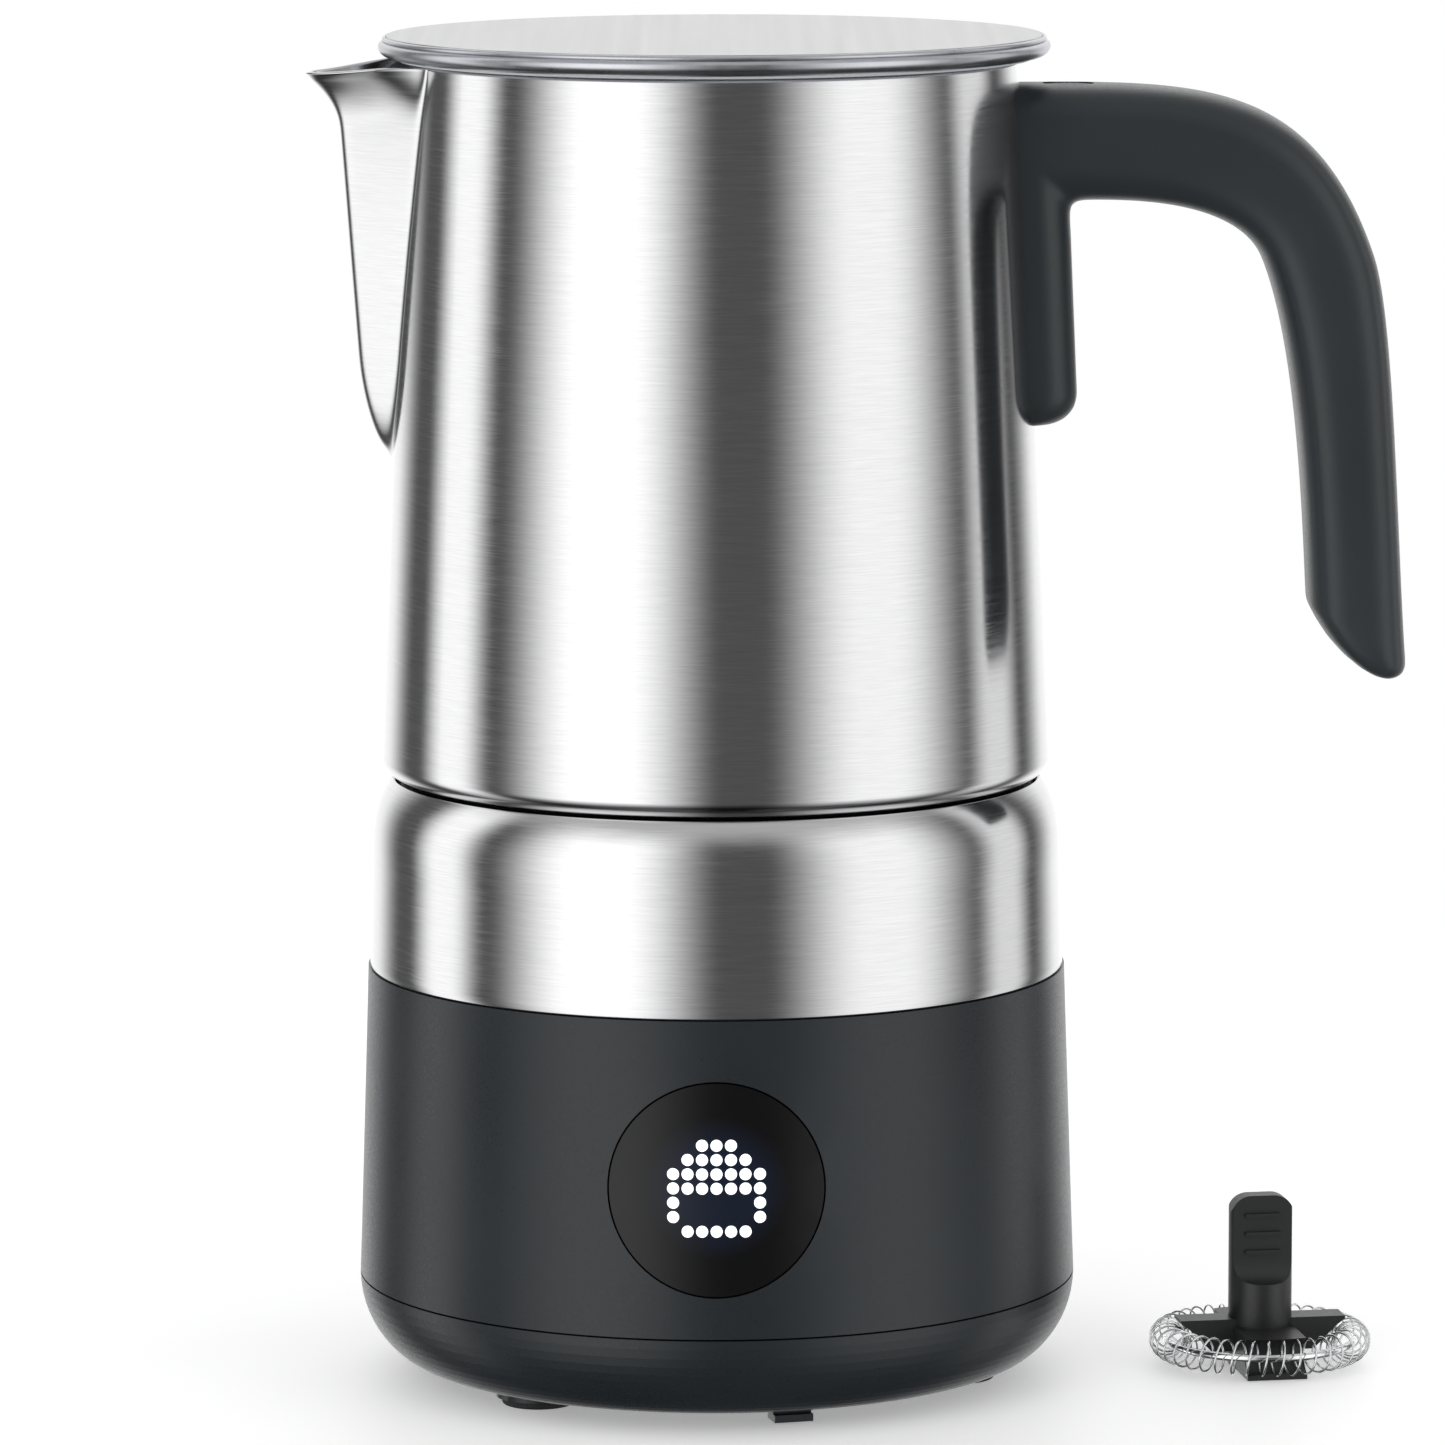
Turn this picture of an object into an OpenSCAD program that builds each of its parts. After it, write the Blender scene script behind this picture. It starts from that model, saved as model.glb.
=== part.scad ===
// Induction milk frother: a steel jug on a heated base that turns a magnetic whisk.
// Millimetres, Z up. Z = 0 is the plane of the feet and the jug's axis is X = Y = 0.
// The spout points to -X, the handle to +X and the round button faces -Y.

/* [Base] */
// Radius of the base at its widest, at the seam above the bottom cover
base_r = 59; // [58.5:0.1:59.5]
// Radius of the plastic body where the steel collar begins
band_r = 57.3; // [57:0.1:57.6]
// Height of the seam between the bottom cover and the body shell
seam_z = 16.5; // [16:0.1:17]
// Height where the plastic body ends and the steel collar begins
band_z = 67.8; // [67:0.1:68.5]
// Height of the underside of the bottom cover
cover_z = 2.9; // [2.7:0.1:3.1]
// Thickness of the plastic walls
wall = 2.2; // [2:0.1:2.4]

/* [Jug] */
// Height of the jug's base above the feet
jug_z = 97.9; // [97.9:0.1:98.2]
// Height of the jug's rim above the feet
rim_z = 216.2; // [215.6:0.1:216.3]
// Outer radius of the jug above its bottom corner
jug_r = 54.8; // [54.5:0.1:55]
// Outer radius of the jug at its rim
rim_r = 49.4; // [49.2:0.1:49.6]
// Thickness of the jug's steel wall
jug_wall = 1; // [0.8:0.1:1.2]
// Radius of the jug's bottom corner
jug_corner_r = 6.5; // [6:0.1:7]

/* [Lid] */
// Largest radius of the lid, at its rolled rim
lid_r = 54.6; // [54:0.1:55.2]
// Height of the lid's top face above the feet
lid_z = 220.4; // [220:0.1:220.8]

/* [Handle] */
// Height of the middle of the handle's top bar
bar_z = 202.9; // [202.5:0.1:203.2]
// Thickness of the top bar, seen from the side
bar_t = 19; // [18.6:0.1:19.4]
// Width of the handle across the hand
handle_w = 24; // [22:0.5:26]

/* [Button] */
// Height of the middle of the round button
button_z = 40.8; // [40:0.1:41.4]
// Radius of the round button
button_r = 17.1; // [16.8:0.05:17.4]
// Distance between neighbouring dots of the display
dot_pitch = 2.3; // [2.25:0.01:2.35]
// Radius of a dot of the display
dot_r = 0.95; // [0.85:0.05:1.05]

/* [Whisk] */
// Distance of the spare whisk from the jug's axis
spare_x = 90; // [88:0.5:91]
// Radius of the whisk's steel ring
ring_r = 15.4; // [15.3:0.1:15.6]
// Radius of the coiled wire round the ring
coil_r = 3; // [2.8:0.1:3.1]
// Number of turns of the coiled wire
coil_turns = 40; // [32:4:48]
// Height of a whisk
whisk_h = 28.5; // [27.5:0.5:29]

/* [Hidden] */
$fn = 96;

slate = [0.20, 0.215, 0.225];
black = [0.06, 0.06, 0.065];
steel = [0.78, 0.78, 0.79];
white = [0.92, 0.95, 1.0];
copper = [0.75, 0.42, 0.22];
green = [0.10, 0.35, 0.20];

seam_gap = 0.3;         // open line between the cover and the body shell
fit_gap = 0.05;         // running clearance of a shaft in its bush
foot_angles = [-135, -15, 105];
hook_angles = [-75, 45, 165];
post_angles = [-45, 75, 195];
foot_ring_r = 41;
foot_r = 6;
foot_edge = 0.45;
hook_ring_r = 45;
post_ring_r = 44;
board_z = 24;           // underside of the power board
board_t = 1.6;
bracket_z = 70;         // underside of the motor bracket
carrier_z = 82;         // underside of the coil carrier
plate_top_z = jug_z - 0.3;
collar_top_z = 99.5;
shoulder_z = 84.5;      // where the collar starts to curve in
sensor_y = 31;          // the sensor stands between the two windings
fan_y = 16;
gland_z = 28;
pin_r = 3;
floor_z = jug_z + 2;    // inside floor of the jug
pin_h = 14;
stir_z = floor_z + 1.4; // underside of the whisk inside the jug

// Outer radius of the plastic body shell at height z
function body_r(z) = base_r + (band_r - base_r) * (z - seam_z) / (band_z - seam_z);

// Outer radius of the bottom cover at height z: a tight quarter of a superellipse
cover_foot_r = 50.2;
function cover_r(z) = cover_foot_r + (base_r - cover_foot_r)
    * pow(1 - pow((seam_z - z) / (seam_z - cover_z), 2), 0.654);

// Outer radius of the steel collar at height z: straight, then rolled in over the shoulder
collar_low_r = 57;
collar_high_r = 56.6;
collar_roll = 3.6;
function collar_r(z) = z < shoulder_z
    ? collar_low_r + (collar_high_r - collar_low_r) * (z - band_z) / (shoulder_z - band_z)
    : collar_high_r - collar_roll * pow((z - shoulder_z) / (collar_top_z - shoulder_z), 3.2);

module tube(r_out, r_in, h) {
    difference() {
        cylinder(r = r_out, h = h);
        translate([0, 0, -1]) cylinder(r = r_in, h = h + 2);
    }
}

module at_angles(angles, r) {
    for (a = angles) rotate(a) translate([r, 0, 0]) children();
}

module rounded_plate(w, d, h, r) {
    linear_extrude(h) {
        square([w - 2 * r, d], center = true);
        square([w, d - 2 * r], center = true);
        for (x = [-1, 1], y = [-1, 1]) translate([x * (w / 2 - r), y * (d / 2 - r)]) circle(r);
    }
}

// A ring of round wire in the plane Z = 0
module torus(r, wire_r) {
    rotate_extrude() translate([r, 0]) circle(wire_r, $fn = 24);
}

// Points its children's +Z towards -Y, at the middle of the button
module towards_front(y) {
    translate([0, y, button_z]) rotate([90, 0, 0]) children();
}

// The solid inside the body shell's outer surface, moved in by d
module body_core(d) {
    z_low = seam_z + seam_gap;
    translate([0, 0, z_low])
        cylinder(r1 = body_r(z_low) - d, r2 = body_r(band_z) - d, h = band_z - z_low);
}

/* ---- base ---- */

module bottom_cover() {
    n = 14;
    heights = [for (i = [0:n]) cover_z + (seam_z - cover_z) * (1 - cos(90 * i / n))];
    outer = [for (z = heights) [cover_r(z), z]];
    floor_top = cover_z + wall;
    inner = [for (i = [n:-1:0]) if (heights[i] > floor_top) [cover_r(heights[i]) - wall, heights[i]]];
    tongue_r = body_r(seam_z) - wall - 0.2;
    color(slate) difference() {
        union() {
            rotate_extrude() polygon(concat([[0, cover_z]], outer, inner,
                [[cover_r(floor_top) - wall, floor_top], [0, floor_top]]));
            // tongue that centres the body shell
            translate([0, 0, seam_z - 4]) tube(tongue_r, tongue_r - 1.6, 6.5);
            at_angles(foot_angles, foot_ring_r) translate([0, 0, 1.3])
                cylinder(r = foot_r + 1, h = cover_z - 1.2);
            at_angles(post_angles, post_ring_r) translate([0, 0, cover_z]) cylinder(r = 5, h = 6);
            at_angles(hook_angles, hook_ring_r) cord_hook();
            // pegs that carry the power board
            at_angles([15, 135, 255], 38) translate([0, 0, cover_z]) cylinder(r = 2.5, h = board_z - cover_z);
        }
        at_angles(foot_angles, foot_ring_r) cylinder(r = foot_r + 0.1, h = cover_z);
        at_angles(post_angles, post_ring_r) {
            translate([0, 0, cover_z - 1]) cylinder(r = 3.1, h = 4);
            cylinder(r = 1.7, h = 12);
        }
        // air slots under the fan and in front of it
        for (x = [-3:3]) translate([x * 4.5 - 1.2, fan_y - 14, 0]) cube([2.4, 28, 8]);
        for (x = [-3:3]) translate([x * 4.5 - 1.2, -38, 0]) cube([2.4, 18, 8]);
    }
}

// A short hook on the underside; the cord is wound round the three of them
module cord_hook() {
    translate([-1.6, -3.2, 0.5]) cube([3.2, 6.4, cover_z]);
    translate([-1.6, -3.2, 0.5]) cube([4.4, 6.4, 1.2]);
}

module rubber_feet() {
    color(black) at_angles(foot_angles, foot_ring_r) rotate_extrude() {
        square([foot_r - foot_edge, cover_z - 0.05]);
        translate([0, foot_edge]) square([foot_r, cover_z - foot_edge - 0.05]);
        translate([foot_r - foot_edge, foot_edge]) circle(foot_edge, $fn = 24);
    }
}

module cover_screws() {
    color(steel) at_angles(post_angles, post_ring_r) {
        translate([0, 0, cover_z + 1]) difference() {
            cylinder(r = 2.8, h = 2);
            translate([-2, -0.4, -1]) cube([4, 0.8, 1.8]);
            translate([-0.4, -2, -1]) cube([0.8, 4, 1.8]);
        }
        translate([0, 0, cover_z + 3]) cylinder(r = 1.35, h = 14);
    }
}

module body_shell() {
    sleeve_r = 55.6;
    sleeve_in_r = 53.4;
    low_z = seam_z + seam_gap;
    post_z = 9.1;
    color(slate) difference() {
        union() {
            difference() {
                union() {
                    body_core(0);
                    translate([0, 0, band_z - 1]) cylinder(r = sleeve_r, h = 19);
                }
                translate([0, 0, low_z - 1]) cylinder(
                    r1 = body_r(low_z - 1) - wall, r2 = body_r(band_z - 4) - wall, h = band_z - low_z - 3);
                translate([0, 0, band_z - 5]) cylinder(r = sleeve_in_r, h = 30);
            }
            // ledge under the coil carrier
            translate([0, 0, carrier_z - 2.5]) tube(sleeve_r - 1, 50, 2.4);
            at_angles(post_angles, post_ring_r) screw_post(post_z);
        }
        at_angles(post_angles, post_ring_r) {
            translate([0, 0, post_z - 1]) cylinder(r = 1.35, h = 14);
            translate([0, 0, bracket_z - 10]) cylinder(r = 1.35, h = 14);
        }
        towards_front(-40) cylinder(r = button_r + 0.3, h = 25);
        translate([0, 40, gland_z]) rotate([-90, 0, 0]) cylinder(r = 6, h = 25);
    }
}

module screw_post(z) {
    translate([0, 0, z]) cylinder(r = 4, h = bracket_z - z);
    translate([0, -1, seam_z + 6]) cube([13, 2, band_z - seam_z - 8]);
}

module steel_collar() {
    n = 16;
    sheet = 0.8;
    roll_h = collar_top_z - shoulder_z;
    outer = [for (i = [0:n]) let (z = shoulder_z + roll_h * sin(90 * i / n)) [collar_r(z), z]];
    inner = [for (i = [n:-1:0]) let (p = outer[i])
        [p[0] - sheet, shoulder_z + (p[1] - shoulder_z) * (roll_h - 0.7) / roll_h]];
    color(steel) rotate_extrude() polygon(concat(
        [[collar_low_r - sheet, band_z + 0.1], [collar_low_r, band_z + 0.1]], outer, inner));
}

module top_plate() {
    skirt_r = 53.2;
    color(black) difference() {
        rotate_extrude() polygon([
            [0, plate_top_z - wall], [50.3, plate_top_z - wall], [50.3, carrier_z + 3.1],
            [skirt_r, carrier_z + 3.1], [skirt_r, 93], [51.8, 96], [51.8, plate_top_z], [0, plate_top_z]]);
        translate([0, sensor_y, 90]) cylinder(r = 4.1, h = 12);
    }
}

module seal_ring() {
    color(black) translate([0, 0, 96.1]) tube(52.7, 51.85, 1.4);
}

// Rubber bush in the rear wall that the mains cord passes through
module cord_gland() {
    gland_y = body_r(gland_z);
    color(black) translate([0, gland_y - 7, gland_z]) rotate([-90, 0, 0]) difference() {
        union() {
            cylinder(r = 5.9, h = 8);
            cylinder(r = 7.4, h = 3);
            translate([0, 0, 7.8]) cylinder(r1 = 7.6, r2 = 6.4, h = 2.2);
        }
        translate([0, 0, -1]) cylinder(r = 3.3, h = 12);
    }
}

module terminal_block() {
    color(white) translate([-24, 39, 8]) difference() {
        cube([14, 8, 9]);
        for (x = [3.5, 10.5]) translate([x, 4, 4]) cylinder(r = 1.8, h = 6);
    }
}

module power_board() {
    color(green) translate([0, 0, board_z]) difference() {
        cylinder(r = 47, h = board_t);
        at_angles(post_angles, post_ring_r) translate([0, 0, -1]) cylinder(r = 5, h = 4);
        translate([-14, 37, -1]) cube([31, 13, 4]);
        // room for the display board
        translate([-22, -57.5, -1]) cube([44, 12, 4]);
    }
}

module board_parts() {
    top = board_z + board_t;
    color([0.15, 0.15, 0.4]) {
        translate([18, -25, top]) cube([20, 11, 17]);
        translate([-8, -40, top]) cube([16, 13, 12]);
    }
    color(black) for (y = [2, 14]) translate([30, y - 3, top]) cylinder(r = 5, h = 20);
    color(copper) translate([22, 30, top + 4]) torus(7, 3.9);
    color(black) for (x = [-30, -22]) translate([x, -30, top]) cube([6, 9, 4]);
}

module heat_sink() {
    top = board_z + board_t;
    color([0.7, 0.7, 0.72]) {
        translate([-30, -4, top]) cube([3, 28, 24]);
        for (i = [0:6]) translate([-43, -4 + i * 4.45, top]) cube([13.1, 1.3, 24]);
    }
}

module power_transistor() {
    color(black) translate([-27, 3, board_z + board_t + 3]) cube([4.6, 15, 18]);
}

module fan_frame() {
    color(black) translate([0, fan_y, cover_z + wall + 0.5]) {
        difference() {
            rounded_plate(40, 40, 10, 3);
            translate([0, 0, -1]) cylinder(r = 18.8, h = 12);
            for (x = [-1, 1], y = [-1, 1]) translate([x * 16.5, y * 16.5, -1]) cylinder(r = 1.6, h = 12);
        }
        cylinder(r = 8, h = 1.6);
        for (a = [30, 150, 270]) rotate(a) translate([7, -1, 0]) cube([12.5, 2, 1.6]);
        cylinder(r = 1, h = 8.5);
    }
}

module fan_rotor() {
    blades = 7;
    color([0.12, 0.12, 0.13]) translate([0, fan_y, cover_z + wall + 2.4]) {
        difference() {
            cylinder(r = 8, h = 7.4);
            translate([0, 0, -1]) cylinder(r = 1 + fit_gap, h = 8);
        }
        for (i = [0:blades - 1]) rotate(i * 360 / blades)
            translate([7.4, 0, 3.8]) rotate([38, 0, 0]) translate([0, -4, -0.6]) cube([10.2, 8, 1.2]);
    }
}

module motor_bracket() {
    color([0.7, 0.7, 0.72]) translate([0, 0, bracket_z]) difference() {
        union() {
            cylinder(r = 22, h = 2.4);
            for (a = post_angles) rotate(a) translate([0, -4.5, 0]) cube([post_ring_r, 9, 2.4]);
            at_angles(post_angles, post_ring_r) cylinder(r = 4.5, h = 2.4);
        }
        translate([0, 0, -1]) cylinder(r = 5, h = 5);
        at_angles(post_angles, post_ring_r) translate([0, 0, -1]) cylinder(r = 1.6, h = 5);
        for (x = [-1, 1]) translate([x * 11, 0, -1]) cylinder(r = 1.6, h = 5);
    }
}

module bracket_screws() {
    color(steel) {
        at_angles(post_angles, post_ring_r) pan_screw(8);
        for (x = [-1, 1]) translate([x * 11, 0, 0]) pan_screw(5);
    }
}

// Screw that stands on the motor bracket, with l of its shank below the head
module pan_screw(l) {
    translate([0, 0, bracket_z + 2.4]) {
        difference() {
            cylinder(r = 2.8, h = 1.8);
            translate([-2, -0.4, 1]) cube([4, 0.8, 1]);
        }
        translate([0, 0, -l]) cylinder(r = 1.3, h = l);
    }
}

module motor_can() {
    color(steel) difference() {
        translate([0, 0, 34]) cylinder(r = 16, h = bracket_z - 34);
        translate([0, 0, 36]) cylinder(r = 14.8, h = 30);
        translate([0, 0, 60]) cylinder(r = 3.95, h = 20);
        for (x = [-1, 1]) translate([x * 11, 0, 60]) cylinder(r = 1.3, h = 20);
    }
}

module motor_bearing() {
    color(copper) translate([0, 0, 66.5]) tube(3.9, 1.5 + fit_gap, 6.5);
}

module drive_shaft() {
    color(steel) translate([0, 0, 40]) cylinder(r = 1.5, h = 49);
}

module drive_hub() {
    color(black) translate([0, 0, 85]) difference() {
        cylinder(r = 16, h = 8.5);
        translate([0, 0, -1]) cylinder(r = 1.5, h = 5);
        at_angles([45, 135, 225, 315], 10) translate([0, 0, 3.4]) cylinder(r = 4.6, h = 8);
    }
}

module drive_magnets() {
    color(steel) at_angles([45, 135, 225, 315], 10) translate([0, 0, 88.5]) cylinder(r = 4.55, h = 4.6);
}

module coil_carrier() {
    color([0.85, 0.83, 0.78]) translate([0, 0, carrier_z]) difference() {
        union() {
            tube(53.2, 18, 3);
            tube(19, 17.8, 7);
        }
        translate([0, sensor_y, -1]) cylinder(r = 3.6, h = 6);
    }
}

module ferrite_bars() {
    color([0.25, 0.25, 0.26]) for (a = [22.5:45:359])
        rotate(a) translate([22, -3, carrier_z - 4.1]) cube([24, 6, 4]);
}

// Two windings of litz wire with a gap between them for the sensor
module induction_coil() {
    wire_r = 1.15;
    color(copper) translate([0, 0, carrier_z + 3 + wire_r + 0.05]) {
        for (r = [21:2.4:26]) torus(r, wire_r);
        for (r = [36.5:2.4:48]) torus(r, wire_r);
    }
}

module mica_disc() {
    color([0.8, 0.75, 0.6]) translate([0, 0, 90.2]) difference() {
        tube(49.5, 20, 0.8);
        translate([0, sensor_y, -1]) cylinder(r = 5.5, h = 3);
    }
}

module sensor_guide() {
    color(white) translate([0, sensor_y, carrier_z - 1.5]) difference() {
        cylinder(r = 3.5, h = 5);
        translate([0, 0, 1.2]) cylinder(r = 3, h = 5);
    }
}

// Spring under the sensor, as a stack of turns
module sensor_spring() {
    color(steel) for (i = [0:6]) translate([0, sensor_y, carrier_z + 0.15 + i * 1.6]) torus(2.5, 0.3);
}

module sensor_cap() {
    color(steel) translate([0, sensor_y, 0]) {
        translate([0, 0, 92.5]) cylinder(r = 4, h = jug_z - 0.15 - 92.5);
        translate([0, 0, 92.5]) cylinder(r = 4.9, h = 1.2);
    }
}

// Leads that run up from the power board
module inner_wires() {
    top = board_z + board_t;
    color([0.7, 0.1, 0.1]) for (a = [30, 34]) rotate(a)
        translate([46, 0, top]) cylinder(r = 1.2, h = carrier_z - top - 3);
    color([0.15, 0.3, 0.7]) for (x = [-4, 4]) translate([x, -6, top]) cylinder(r = 0.9, h = 34 - top);
    color([0.8, 0.8, 0.8]) translate([-5, -45.3, top]) cube([10, 0.6, button_z - 9 - top]);
}

/* ---- button and display ---- */

module button_panel() {
    color(black) {
        intersection() {
            difference() {
                body_core(0);
                body_core(wall);
            }
            towards_front(-40) cylinder(r = button_r, h = 25);
        }
        for (x = [-1, 1]) towards_front(-52.7) translate([x * 12.5, 0, 0]) cylinder(r = 1.5, h = 2.6);
    }
}

// A cup with a handle, row by row from the top: the columns that are lit
dot_rows = [
    [2, 3, 4],
    [1, 2, 3, 4, 5],
    [0, 1, 2, 3, 4, 5, 6],
    [0, 1, 2, 3, 4, 5, 6],
    [0, 6],
    [0, 6],
    [1, 2, 3, 4, 5]];

dots_up = 0.3; // the picture sits a little above the middle of the button

module at_dots() {
    for (row = [0:6], col = dot_rows[row])
        translate([(col - 3) * dot_pitch, (3 - row) * dot_pitch + dots_up, 0]) children();
}

module display_dots() {
    film = 0.05;
    color(white) intersection() {
        difference() {
            body_core(-film);
            body_core(0);
        }
        towards_front(-40) at_dots() cylinder(r = dot_r, h = 25, $fn = 32);
    }
}

module display_frame() {
    color(black) towards_front(-46) difference() {
        tube(22, 20, 5);
        translate([-6, -30, -1]) cube([12, 12, 10]);
    }
}

module display_board() {
    color(green) towards_front(-46.2) cylinder(r = 19.8, h = 1.4);
}

module display_leds() {
    color(white) towards_front(-47.65) at_dots() translate([-0.8, -0.8, 0]) cube([1.6, 1.6, 0.7]);
}

module led_shroud() {
    color(black) towards_front(-47.65) difference() {
        rounded_plate(19.6, 19.6, 6, 1.5);
        translate([0, 0, -1]) rounded_plate(17.6, 17.6, 8, 0.8);
    }
}

module button_switches() {
    color(black) for (x = [-1, 1]) towards_front(-47.65) translate([x * 12.5, 0, 0]) {
        translate([-2.2, -3, 0]) cube([4.4, 6, 3.2]);
        cylinder(r = 1.2, h = 4.1);
    }
}

/* ---- jug ---- */

// Outer radius of the jug's round wall at height z, with a slight outward bow
jug_bow = 0.25;
function wall_r(z) = let (t = (z - jug_z - jug_corner_r) / (rim_z - jug_z - jug_corner_r))
    jug_r + (rim_r - jug_r) * t + jug_bow * sin(180 * t);

// The spout: how far its nose stands out of the wall, and half its width there
spout_z = 152;
spout_full_z = 168;
spout_lip_z = 206;
spout_nose_r = 3;
function spout_grow(z) = z >= spout_full_z ? 1
    : z <= spout_z ? 0 : sqrt(1 - pow((spout_full_z - z) / (spout_full_z - spout_z), 2));
function spout_out(z) = spout_grow(z) * (6.3 + (z - spout_full_z) * 0.125)
    + (z > spout_lip_z ? 0.053 * pow(z - spout_lip_z, 2) : 0);
function spout_half(z) = spout_grow(z) * (10 + (z - spout_full_z) * 0.165);

// Radius at angle a from the spout's middle, for a wall of radius r with a beak that
// stands out by p, is 2w wide where it leaves the wall and has a nose of radius q
function beak_r(r, p, w, q, a) =
    let (ax = sqrt(r * r - w * w), c = r + p - q, d = [c - ax, -w],
        t = atan2(d[1], d[0]) + asin(q / norm(d)),
        nose = [c + q * cos(t + 90), q * sin(t + 90)],
        nose_a = atan2(nose[1], nose[0]), f = abs(a))
    f >= atan2(w, ax) ? r
    : f <= nose_a ? c * cos(f) + sqrt(q * q - pow(c * sin(f), 2))
    : (ax * sin(t) - w * cos(t)) / (cos(f) * sin(t) - sin(f) * cos(t));
function spout_r(r, z, q, a) = spout_out(z) < 1 || spout_half(z) <= q + 0.4 || abs(a) > 30 ? r
    : beak_r(r, max(spout_out(z), q * 0.5), spout_half(z), q, a);

// The rim dips towards the tip of the spout
spout_dip = 1.7;
function rim_dip(a) = let (f = min(1, abs(a) / 20)) spout_dip * pow(cos(90 * f), 2);

module jug_shell() {
    angles = concat([for (a = [-30:2.5:29.9]) a], [for (i = [0:43]) 30 + i * 300 / 44]);
    step_r = 44.3;
    step_z = jug_z + 1.05;
    corner_z = jug_z + jug_corner_r;
    corner = [for (i = [0:5]) let (b = 90 * i / 5)
        [jug_r - jug_corner_r + jug_corner_r * sin(b), corner_z - jug_corner_r * cos(b)]];
    heights = concat([120, 136, 150], [for (z = [153:3:174]) z], [180, 188, 196, 203, 207, 210.5, 213.5]);
    in_corner_r = jug_corner_r - jug_wall;
    in_corner = [for (i = [5:-1:0]) let (b = 90 * i / 5)
        [jug_r - jug_corner_r + in_corner_r * sin(b), corner_z - in_corner_r * cos(b)]];
    // each station is [radius, height, 1 on the outer skin or 0 on the inner one]
    stations = concat(
        [[step_r, step_z, 1], [step_r, jug_z, 1]],
        [for (p = corner) [p[0], p[1], 1]],
        [for (z = heights) [wall_r(z), z, 1]],
        [[rim_r, rim_z - 0.3, 1], [rim_r - 0.3, rim_z, 1], [rim_r - jug_wall + 0.3, rim_z, 0]],
        [[rim_r - jug_wall, rim_z - 0.3, 0]],
        [for (i = [len(heights) - 1:-1:0]) [wall_r(heights[i]) - jug_wall, heights[i], 0]],
        [for (p = in_corner) [p[0], max(p[1], floor_z), 0]]);
    n = len(angles);
    rows = len(stations);
    lip_z = 190;
    points = concat(
        [for (s = stations, a = angles)
            let (r = spout_r(s[0], s[1], s[2] == 1 ? spout_nose_r : spout_nose_r - jug_wall * 0.8, a),
                rise = max(0, (s[1] - lip_z) / (rim_z - lip_z)))
            [-r * cos(a), -r * sin(a), s[1] - rim_dip(a) * rise * rise]],
        [[0, 0, step_z], [0, 0, floor_z]]);
    faces = concat(
        [for (k = [0:rows - 2], i = [0:n - 1]) let (j = (i + 1) % n) [k * n + i, (k + 1) * n + j, k * n + j]],
        [for (k = [0:rows - 2], i = [0:n - 1]) let (j = (i + 1) % n)
            [k * n + i, (k + 1) * n + i, (k + 1) * n + j]],
        [for (i = [0:n - 1]) [rows * n, i, (i + 1) % n]],
        [for (i = [0:n - 1]) [rows * n + 1, (rows - 1) * n + (i + 1) % n, (rows - 1) * n + i]]);
    color(steel) polyhedron(points = points, faces = faces, convexity = 10);
}

// Magnetic steel disc under the jug that the coil heats
module jug_base_disc() {
    color([0.6, 0.6, 0.62]) translate([0, 0, jug_z]) cylinder(r = 44, h = 1);
}

module whisk_pin() {
    color(steel) translate([0, 0, floor_z]) rotate_extrude() {
        square([pin_r, pin_h - 1]);
        square([pin_r - 1, pin_h]);
        translate([pin_r - 1, pin_h - 1]) circle(1, $fn = 32);
        square([6, 1]);
    }
}

/* ---- handle ---- */

function bezier(p, t) = pow(1 - t, 3) * p[0] + 3 * pow(1 - t, 2) * t * p[1]
    + 3 * (1 - t) * t * t * p[2] + pow(t, 3) * p[3];

upright_z = 157;        // lower end of the part that lies along the jug
upright_x = 59.1;       // its outer face at that end
upright_lean = 0.042;   // how much that face leans in per millimetre, as the jug narrows

// The edges of the handle in the plane Y = 0, as [x, z]: away from the hand and in the palm
back_edge = [
    [[55, bar_z + bar_t / 2], [81.8, bar_z + bar_t / 2], [98.2, bar_z + 8.1], [107.3, 184.2]],
    [[107.3, 184.2], [110.8, 173.5], [111.4, 136.9], [112.9, 118]]];
palm_edge = [
    [[55, bar_z - bar_t / 2], [60.6, bar_z - bar_t / 2], [84.3, bar_z - 7.4], [89.2, 183.7]],
    [[89.2, 183.7], [95.5, 168.4], [96.3, 137.3], [96.9, 127.4]]];
// The rounded lower end: palm point, back point and share of the width
tip_rings = [
    [[98.2, 124.9], [112.85, 116.9], 0.985],
    [[99.9, 122.3], [112.5, 116.1], 0.96],
    [[102.2, 119.7], [111.8, 115.6], 0.91],
    [[104.8, 117.5], [110.9, 115.35], 0.82],
    [[106.8, 116.3], [109.9, 115.3], 0.7]];
function along(edge, t) = t < 0.5 ? bezier(edge[0], 2 * t) : bezier(edge[1], 2 * t - 1);

// One ring of the handle: a superellipse between a palm point and a back point
ring_sides = 24;
function handle_ring(palm, back, half_w, power) = [for (i = [0:ring_sides - 1])
    let (b = 360 * i / ring_sides, c = cos(b), s = sin(b), m = (palm + back) / 2, h = (back - palm) / 2,
        u = sign(c) * pow(abs(c), power), v = sign(s) * pow(abs(s), power))
    [m[0] + h[0] * u, half_w * v, m[1] + h[1] * u]];

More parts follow.
